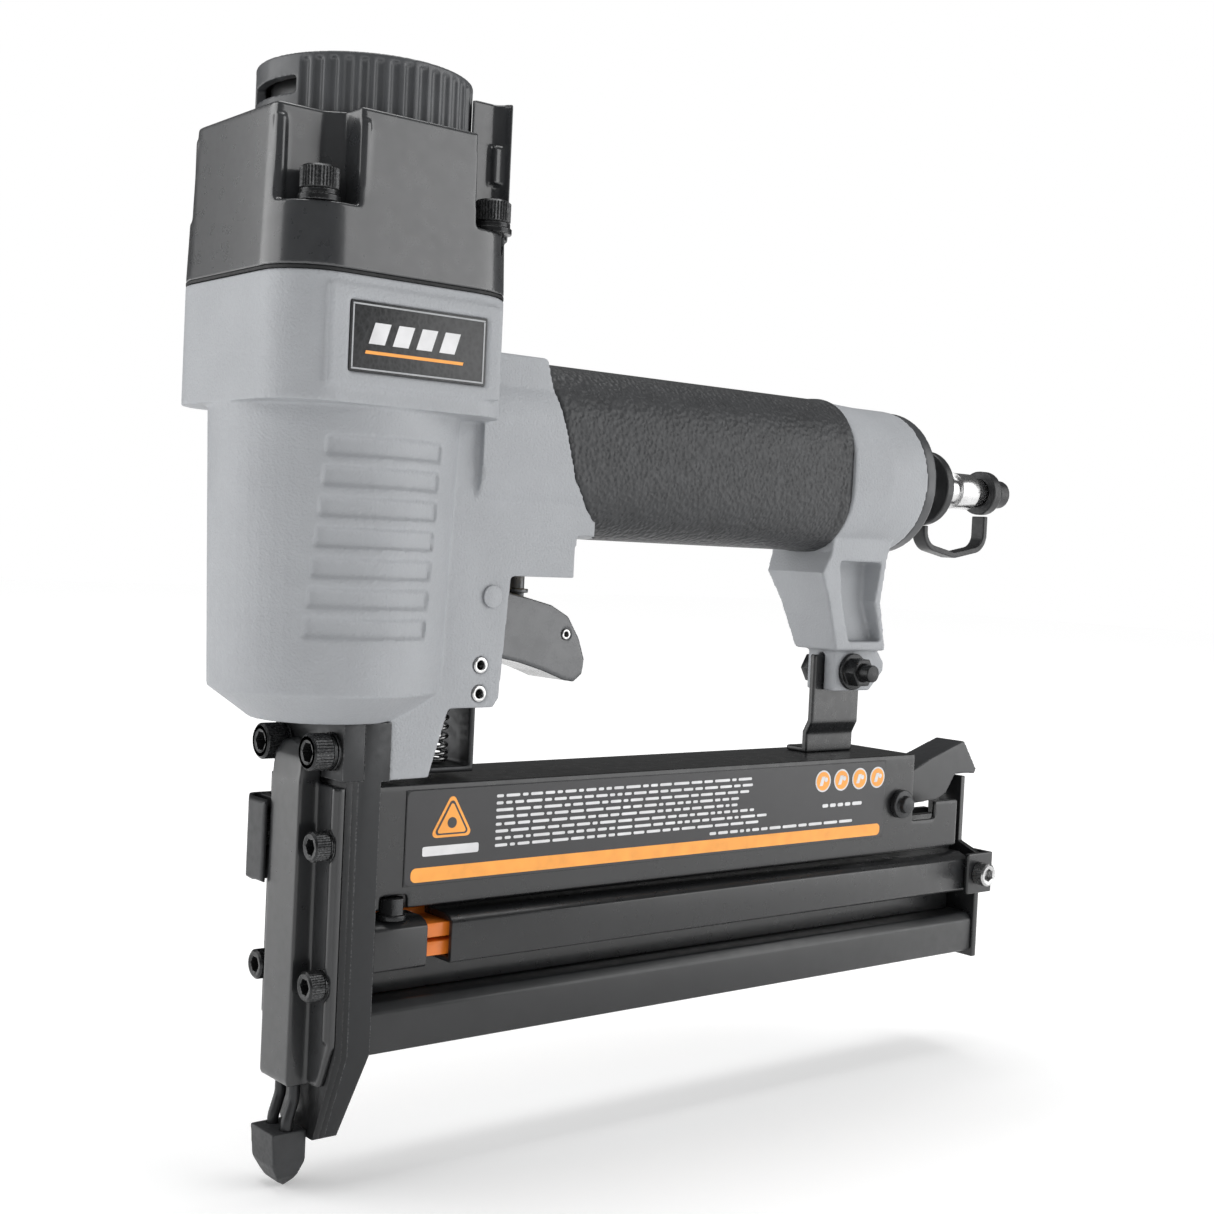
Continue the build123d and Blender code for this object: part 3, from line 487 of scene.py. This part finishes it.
def coil(radius, wire, length, turns):
    """A coil spring about +Z from the origin, with its end turns closer together."""
    steps = turns * TURN_STEPS
    points = []
    for k in range(steps + 1):
        share = k / steps
        eased = share - 0.06 * math.sin(2 * math.pi * share)
        angle = 2 * math.pi * turns * share
        centre_z = wire + (length - 2 * wire) * eased
        for j in range(WIRE_STEPS):
            side = 2 * math.pi * j / WIRE_STEPS
            out = radius + wire * math.cos(side)
            height = centre_z + wire * math.sin(side)
            points.append(Vector((out * math.cos(angle), out * math.sin(angle), height)))
    faces = []
    for k in range(steps):
        for j in range(WIRE_STEPS):
            a = k * WIRE_STEPS + j
            b = k * WIRE_STEPS + (j + 1) % WIRE_STEPS
            faces.append((a, b, b + WIRE_STEPS, a + WIRE_STEPS))
    faces.append(tuple(reversed(range(WIRE_STEPS))))
    faces.append(tuple(range(steps * WIRE_STEPS, (steps + 1) * WIRE_STEPS)))
    return points, [tuple(reversed(face)) for face in faces]


# ---- castings, mouldings and bent sheet: voxel size in mm and rounds of smoothing ----
CASTINGS = {
    "main_housing": (0.5, 2), "cylinder_cap": (0.42, 8), "exhaust_deflector": (0.38, 2), "end_cap": (0.5, 3),
    "trigger": (0.35, 5), "nose_cover": (0.36, 6), "no_mar_tip": (0.28, 10), "safety_link": (0.35, 3),
    "safety_yoke": (0.35, 3), "magazine_cover": (0.5, 2), "latch_lever": (0.35, 4),
    "magazine_bracket": (0.35, 5), "plug_ring": (0.35, 5), "dust_cap": (0.3, 5), "cap_strap": (0.3, 3),
    "end_clamps": (0.35, 5),
}
# ---- plates, blocks and turned pieces: width of the bevels in mm ----
BLOCKS = {
    "nose_front_plate": 0.3, "nose_guide_plate": 0.3, "nose_body": 0.4, "nose_adapter": 0.7,
    "front_guides": 0.25, "side_rails": 0.25, "bottom_rail": 0.5, "rear_end_plate": 0.3,
    "magazine_track": 0.2, "pusher": 0.4,
    "air_plug": 0.4, "trigger_pivot_pin": 0.2, "roll_pins": 0.2, "latch_pivot_bolt": 0.3, "track_rivet": 0.4,
    "cylinder_sleeve": 0.4, "piston": 0.3, "piston_ring": 0.1, "driver_blade": 0.1, "head_valve": 0.4,
    "valve_body": 0.2, "valve_stem": 0.2, "trigger_arm": 0.15, "trigger_arm_pin": 0.12, "guide_nuts": 0.4,
    "bracket_fasteners": 0.4, "sleeve_seals": 0.3, "bumper": 0.6, "name_plates": 0.08,
    "deflector_filter": 0.2,
}


def make_castings():
    for node, (voxel, rounds) in CASTINGS.items():
        settle(cast(node, voxel, rounds), node)


def make_blocks():
    for node, width in BLOCKS.items():
        settle(machined(node, width), node)


def emboss(obj, inside, height):
    """Moves each vertex out along its normal by height times inside(position)."""
    obj.data.update()
    normals = [v.normal.copy() for v in obj.data.vertices]
    for vertex, normal in zip(obj.data.vertices, normals):
        vertex.co += normal * (height * inside(vertex.co))


def make_grip():
    """The rubber sleeve, with its surface raised along its rear end."""
    grip = cast("grip_sleeve", 0.6, 3)
    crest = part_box("grip_sleeve")[1].x - 1.5 * MM
    border = 2.6 * MM

    def rim(co):
        return max(0.0, 1.0 - max(0.0, crest - co.x) / border) ** 0.5

    emboss(grip, rim, 0.35 * MM)
    settle(grip, "grip_sleeve")


# ---- fasteners ----
def make_cap_screws():
    """The four screws on the cap. Returns their washers."""
    low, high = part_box("cap_screws")
    head_r, head_h, shank_r = M5_SCREW
    spots = [(x, y) for x in (low.x + head_r, high.x - head_r) for y in (low.y + head_r, high.y - head_r)]
    screw = socket_screw(head_r, head_h, shank_r, high.z - head_h - low.z)
    parts = [placed(screw, (x, y, high.z - head_h)) for x, y in spots]
    settle(build("cap_screw_set", parts), "cap_screws")
    flat = flat_washer(4.6 * MM, 2.5 * MM, 1.3 * MM)
    spring = split_washer(4.2 * MM, 2.5 * MM, 0.9 * MM)
    washers = [placed(flat, (x, y, high.z - head_h - 2.5 * MM)) for x, y in spots]
    washers += [placed(spring, (x, y, high.z - head_h - 1.08 * MM)) for x, y in spots]
    return washers


def make_nose_bolts(node, size, washer_r, washer_t):
    """Bolts along the front of the nose, heads forward. Returns their washers."""
    low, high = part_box(node)
    head_r, head_h, shank_r = size
    levels = sorted({round(low.z + head_r, 6), round(high.z - head_r, 6)})
    spots = [(y, z) for y in (low.y + head_r, high.y - head_r) for z in levels]
    screw = socket_screw(head_r, head_h, shank_r, high.x - low.x - head_h)
    under = low.x + head_h
    settle(build(node + "_set", [placed(screw, (under, y, z), (-1, 0, 0)) for y, z in spots]), node)
    washer = split_washer(washer_r, shank_r, washer_t * 0.4)
    flat = flat_washer(washer_r + 0.3 * MM, shank_r, washer_t * 0.5)
    rings = [placed(washer, (under + washer_t * 0.42, y, z), (-1, 0, 0)) for y, z in spots]
    rings += [placed(flat, (under + washer_t, y, z), (-1, 0, 0)) for y, z in spots]
    return rings


def make_fasteners():
    washers = make_cap_screws()
    washers += make_nose_bolts("nose_bolts_lower", M4_SCREW, 3.4 * MM, 0.6 * MM)
    washers += make_nose_bolts("nose_bolts_upper", M5_SCREW, 4.1 * MM, 1.6 * MM)
    settle(build("washer_set", washers), "screw_washers")
    make_end_screws()
    make_deflector_screw()


def make_end_screws():
    low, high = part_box("end_screws")
    x, z = (low.x + high.x) / 2, (low.z + high.z) / 2
    under = high.y - M4_SCREW[1]
    screw = socket_screw(*M4_SCREW, 8.0 * MM)
    pair = [placed(screw, (x, side * under, z), (0, side, 0)) for side in (-1, 1)]
    settle(build("end_screw_set", pair), "end_screws")


def make_deflector_screw():
    low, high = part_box("deflector_screw")
    head_h = 2.6 * MM
    screw = socket_screw(4.2 * MM, head_h, 2.5 * MM, 12 * MM)
    part = placed(screw, ((low.x + high.x) / 2, 0, high.z - head_h))
    settle(build("deflector_cap_screw", [part]), "deflector_screw")


# ---- springs ----
def make_spring(node, turns, wire):
    """An upright coil spring at its CAD node's length."""
    low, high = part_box(node)
    middle = (low + high) / 2
    length, radius = high.z - low.z, (high.x - low.x) / 2 - wire
    part = placed(coil(radius, wire, length, turns), (middle.x, middle.y, low.z))
    spring = settle(build(node + "_coil", [part], 80.0), node)
    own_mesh(spring)


def make_pusher_spring():
    """The pusher's spring at its closed length. It does not stretch."""
    low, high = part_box("pusher_spring")
    wire = 0.35 * MM
    radius = (high.z - low.z) / 2 - wire
    start = (low.x, 0.0, (low.z + high.z) / 2)
    part = placed(coil(radius, wire, high.x - low.x, 34), start, (1, 0, 0))
    settle(build("pusher_spring_coil", [part], 80.0), "pusher_spring")


def make_springs():
    """The coil springs, each built at its CAD node's length."""
    make_spring("head_valve_spring", 6, 1.0 * MM)
    make_spring("trigger_spring", 5, 0.35 * MM)
    make_spring("valve_spring", 6, 0.4 * MM)
    make_spring("safety_spring", 9, 0.45 * MM)
    make_pusher_spring()


# ---- printed marks ----
def rounded(x0, x1, z0, z1, radius, steps=CORNER_STEPS):
    """A rectangle with round corners, as points in X and Z."""
    corners = [(x1 - radius, z1 - radius, 0), (x0 + radius, z1 - radius, 90),
               (x0 + radius, z0 + radius, 180), (x1 - radius, z0 + radius, 270)]
    return arcs(corners, radius, steps)


def arcs(corners, radius, steps, sweep=90):
    """An outline of one arc about each corner (x, z, start angle)."""
    outline = []
    for x, z, start in corners:
        for k in range(steps + 1):
            angle = math.radians(start + sweep * k / steps)
            outline.append((x + radius * math.cos(angle), z + radius * math.sin(angle)))
    return outline


def disc(x, z, radius):
    return arcs([(x, z, 0)], radius, DISC_STEPS, 360 - 360 / (DISC_STEPS + 1))


def sign(x, z, half, radius):
    """A triangle with round corners, standing on its base."""
    height = half * math.sqrt(3)
    inset = radius * 1.73
    corners = [(x + half - inset, z + radius, -90), (x, z + height - 2 * radius, 30),
               (x - half + inset, z + radius, 150)]
    return arcs(corners, radius, 6, 120)


def slanted(x0, x1, z0, z1, lean):
    """A bar whose top is moved along X by lean."""
    return [(x0, z0), (x1, z0), (x1 + lean, z1), (x0 + lean, z1)]


def prism(outline, face, thick):
    """An outline in X and Z on the plane Y = -face, raised by thick towards -Y."""
    count = len(outline)
    points = [Vector((x, -face, z)) for x, z in outline] + [Vector((x, -face - thick, z)) for x, z in outline]
    faces = [tuple(range(count)), tuple(reversed(range(count, 2 * count)))]
    faces += [(k, k + count, (k + 1) % count + count, (k + 1) % count) for k in range(count)]
    return points, faces


def on_both_sides(parts):
    """The parts, and the same parts mirrored to the other side of the tool."""
    mirrored = [([Vector((p.x, -p.y, p.z)) for p in points], [tuple(reversed(f)) for f in faces])
                for points, faces in parts]
    return parts + mirrored


def printed(name, colour, outlines, face, layer=1):
    """Marks printed on both sides of the tool, on the planes Y = -face and Y = face."""
    thick = DECAL_T * layer
    mark = build(name, on_both_sides([prism(outline, face, thick) for outline in outlines]), 20.0)
    dress(mark, PRINT[colour])
    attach(mark, BODY_OF["name_plates"])
    return mark


def scaled(outline):
    """An outline in millimetres, in metres."""
    return [(x * MM, z * MM) for x, z in outline]


def text_rows(x0, x1, top, rows, pitch, height):
    """Rows of short bars, in mm, where a label would carry its small print."""
    ragged = 14
    shortest, longest, gap = 1.4, 5.6, 0.8
    bars = []
    for row in range(rows):
        x = x0
        end = x1 - random.uniform(0, ragged)
        z = top - pitch * row
        while x < end - 2.0:
            length = random.uniform(shortest, longest)
            bars.append(rounded(x, min(end, x + length), z, z + height, height * 0.4, 2))
            x += length + gap
    return bars


def make_label():
    """The label on the magazine cover, in millimetres."""
    cover_low, cover_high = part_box("magazine_cover")
    face = -cover_low.y + LABEL_T
    length, height = 165.2, 22.2
    x0 = cover_low.x / MM + 8.2
    top = cover_high.z / MM - 1.4
    base = top - height
    x1 = x0 + length
    sign_x = x0 + 12.6
    stripe = rounded(x0 + 1.6, x1 - 1.4, base + 0.6, base + 4.0, 1.4)
    heading = rounded(x0 + 4.6, x0 + 20.6, base + 6.6, base + 8.9, 0.5)
    printed("label_film", "label", [scaled(rounded(x0, x1, base, top, 1.6))], face, 1)
    printed("label_stripe", "orange", [scaled(stripe)], face, 2)
    printed("label_sign_edge", "orange", [scaled(sign(sign_x, base + 10.8, 6.2, 1.1))], face, 2)
    printed("label_sign_line", "dark", [scaled(sign(sign_x, base + 11.4, 5.1, 0.8))], face, 3)
    printed("label_sign_fill", "orange", [scaled(sign(sign_x, base + 11.8, 4.3, 0.5))], face, 4)
    printed("label_sign_mark", "dark", [scaled(disc(sign_x, base + 14.2, 1.3))], face, 5)
    printed("label_heading", "white", [scaled(heading)], face, 2)
    rows = [scaled(bar) for bar in text_rows(x0 + 25.4, x0 + 118.0, base + 19.4, 8, 1.72, 0.72)]
    rows += [scaled(bar) for bar in text_rows(x0 + 96.0, x1 - 2.0, base + 5.2, 1, 1.7, 0.8)]
    rows += [scaled(bar) for bar in text_rows(x1 - 26.0, x1 - 3.0, base + 10.0, 1, 1.7, 1.0)]
    printed("label_rows", "white", rows, face, 2)
    spots = [(x1 - 26.2 + 7.6 * k, top - 4.6) for k in range(4)]
    printed("label_rims", "white", [scaled(disc(x, z, 3.1)) for x, z in spots], face, 2)
    printed("label_discs", "orange", [scaled(disc(x, z, 2.65)) for x, z in spots], face, 3)
    marks = [scaled(slanted(x - 1.5, x - 0.2, z - 1.3, z + 1.3, 0.9)) for x, z in spots]
    marks += [scaled(disc(x + 1.1, z + 0.4, 0.65)) for x, z in spots]
    printed("label_disc_marks", "white", marks, face, 4)


def make_badge():
    """The plain marks on the head's badge, in millimetres."""
    low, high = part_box("name_plates")
    face = -low.y
    x0, x1 = -14.4, 20.7
    z1 = high.z / MM
    z0 = z1 - 15.1
    rim, inset = 0.35, 0.5
    upper = rounded(x0 + inset, x1 - inset, z1 - inset - rim, z1 - inset, 0.1, 2)
    lower = rounded(x0 + inset, x1 - inset, z0 + inset, z0 + inset + rim, 0.1, 2)
    printed("badge_rim_top", "grey", [scaled(upper)], face)
    printed("badge_rim_base", "grey", [scaled(lower)], face)
    sides = [rounded(x, x + rim, z0 + 0.9, z1 - 0.9, 0.1, 2) for x in (x0 + inset, x1 - inset - rim)]
    printed("badge_rim_sides", "grey", [scaled(side) for side in sides], face)
    bars = [slanted(x0 + 4.6 + 6.0 * k, x0 + 8.6 + 6.0 * k, z0 + 6.2, z0 + 10.8, 1.5) for k in range(4)]
    printed("badge_bars", "white", [scaled(bar) for bar in bars], face)
    printed("badge_line", "orange", [scaled(slanted(x0 + 3.8, x1 - 6.2, z0 + 4.0, z0 + 4.7, 0.2))], face)


# ---- CAD nodes that nothing replaces show with their own shape ----
def dress_the_rest():
    """Gives every CAD node its finish."""
    for node, obj in frame["nodes"].items():
        for slot in obj.material_slots:
            slot.material = LOOKS[NODE_SLOT[node]].material


# ---- studio ----
def make_camera():
    """Low, off the tool's front left corner. The values were fitted to the photograph."""
    eye = Vector((-198.1, -345.2, 138.9)) * MM
    yaw, pitch, roll = (math.radians(a) for a in (50.87, -1.79, 2.656))
    forward = Vector((math.cos(pitch) * math.cos(yaw), math.cos(pitch) * math.sin(yaw), math.sin(pitch)))
    level = Vector((math.sin(yaw), -math.cos(yaw), 0.0))
    upright = level.cross(forward)
    right = math.cos(roll) * level + math.sin(roll) * upright
    up = -math.sin(roll) * level + math.cos(roll) * upright
    data = bpy.data.cameras.new("camera")
    data.sensor_width = 36.0
    data.lens = 50.264
    data.shift_x = 0.0023
    data.shift_y = -0.0040
    data.clip_start = 0.01
    camera = new_object("camera", data)
    turn = Matrix((right, up, -forward)).transposed()
    camera.matrix_world = Matrix.Translation(eye) @ turn.to_4x4()
    SCENE.camera = camera


def make_light(name, at, target, size, power):
    """A rectangular light at a place, facing its target."""
    data = bpy.data.lights.new(name, "AREA")
    data.shape = "RECTANGLE"
    data.size, data.size_y = size
    data.energy = power
    light = new_object(name, data)
    light.location = at
    light.rotation_euler = (Vector(at) - Vector(target)).to_track_quat("Z", "Y").to_euler()
    return light


def make_world():
    """White as the camera sees it, and dimmer as it lights the tool and shows in its shine."""
    world = bpy.data.worlds.new("studio")
    SCENE.world = world
    world.use_nodes = True
    tree = world.node_tree
    backdrop = tree.nodes["Background"]
    backdrop.inputs["Color"].default_value = WHITE
    backdrop.inputs["Strength"].default_value = 1.0
    fill = tree.nodes.new("ShaderNodeBackground")
    fill.inputs["Color"].default_value = WHITE
    seen = tree.nodes.new("ShaderNodeLightPath")
    soft = tree.nodes.new("ShaderNodeMapRange")
    soft.inputs["To Min"].default_value = FILL
    soft.inputs["To Max"].default_value = MIRRORED_FILL
    tree.links.new(seen.outputs["Is Glossy Ray"], soft.inputs["Value"])
    tree.links.new(soft.outputs["Result"], fill.inputs["Strength"])
    either = tree.nodes.new("ShaderNodeMixShader")
    tree.links.new(seen.outputs["Is Camera Ray"], either.inputs["Fac"])
    tree.links.new(fill.outputs["Background"], either.inputs[1])
    tree.links.new(backdrop.outputs["Background"], either.inputs[2])
    tree.links.new(either.outputs["Shader"], tree.nodes["World Output"].inputs["Surface"])
    SCENE.view_settings.view_transform = "Standard"


def make_lights():
    middle = (0.09, 0.0, 0.12)
    make_light("left_panel", (-0.90, 0.62, 0.35), middle, (1.1, 1.2), 9.5)
    make_light("right_panel", (0.98, -0.85, 0.35), middle, (1.1, 1.2), 11.0)
    make_light("top", (0.1, 0.1, 1.1), middle, (0.9, 0.6), 6.0)
    make_light("front", (-0.75, -0.85, 0.55), middle, (0.7, 0.7), 1.2).visible_glossy = False


def make_floor():
    """A pale sheet that glows more with distance, to meet the white backdrop."""
    half = FLOOR_HALF
    low = CAD_BOX[0][2] - FLOOR_DROP
    corners = [Vector((x, y, low)) for x, y in ((-half, -half), (half, -half), (half, half), (-half, half))]
    floor = build("floor", [(corners, [(0, 1, 2, 3)])])
    look = Look("floor_paper", 0.7)
    look.colours(look.noise(0.4), grey(0.92), grey(0.93))
    look.shader.inputs["Emission Color"].default_value = WHITE
    reach = look.nodes.new("ShaderNodeVectorMath")
    reach.operation = "LENGTH"
    look.links.new(look.place, reach.inputs[0])
    glow = look.ranged(reach.outputs["Value"], (0.2, 1.1), (0.2, 0.66))
    look.links.new(glow, look.shader.inputs["Emission Strength"])
    dress(floor, look)


make_castings()
make_blocks()
make_grip()
make_fasteners()
make_springs()
make_label()
make_badge()
dress_the_rest()
make_camera()
make_world()
make_lights()
make_floor()
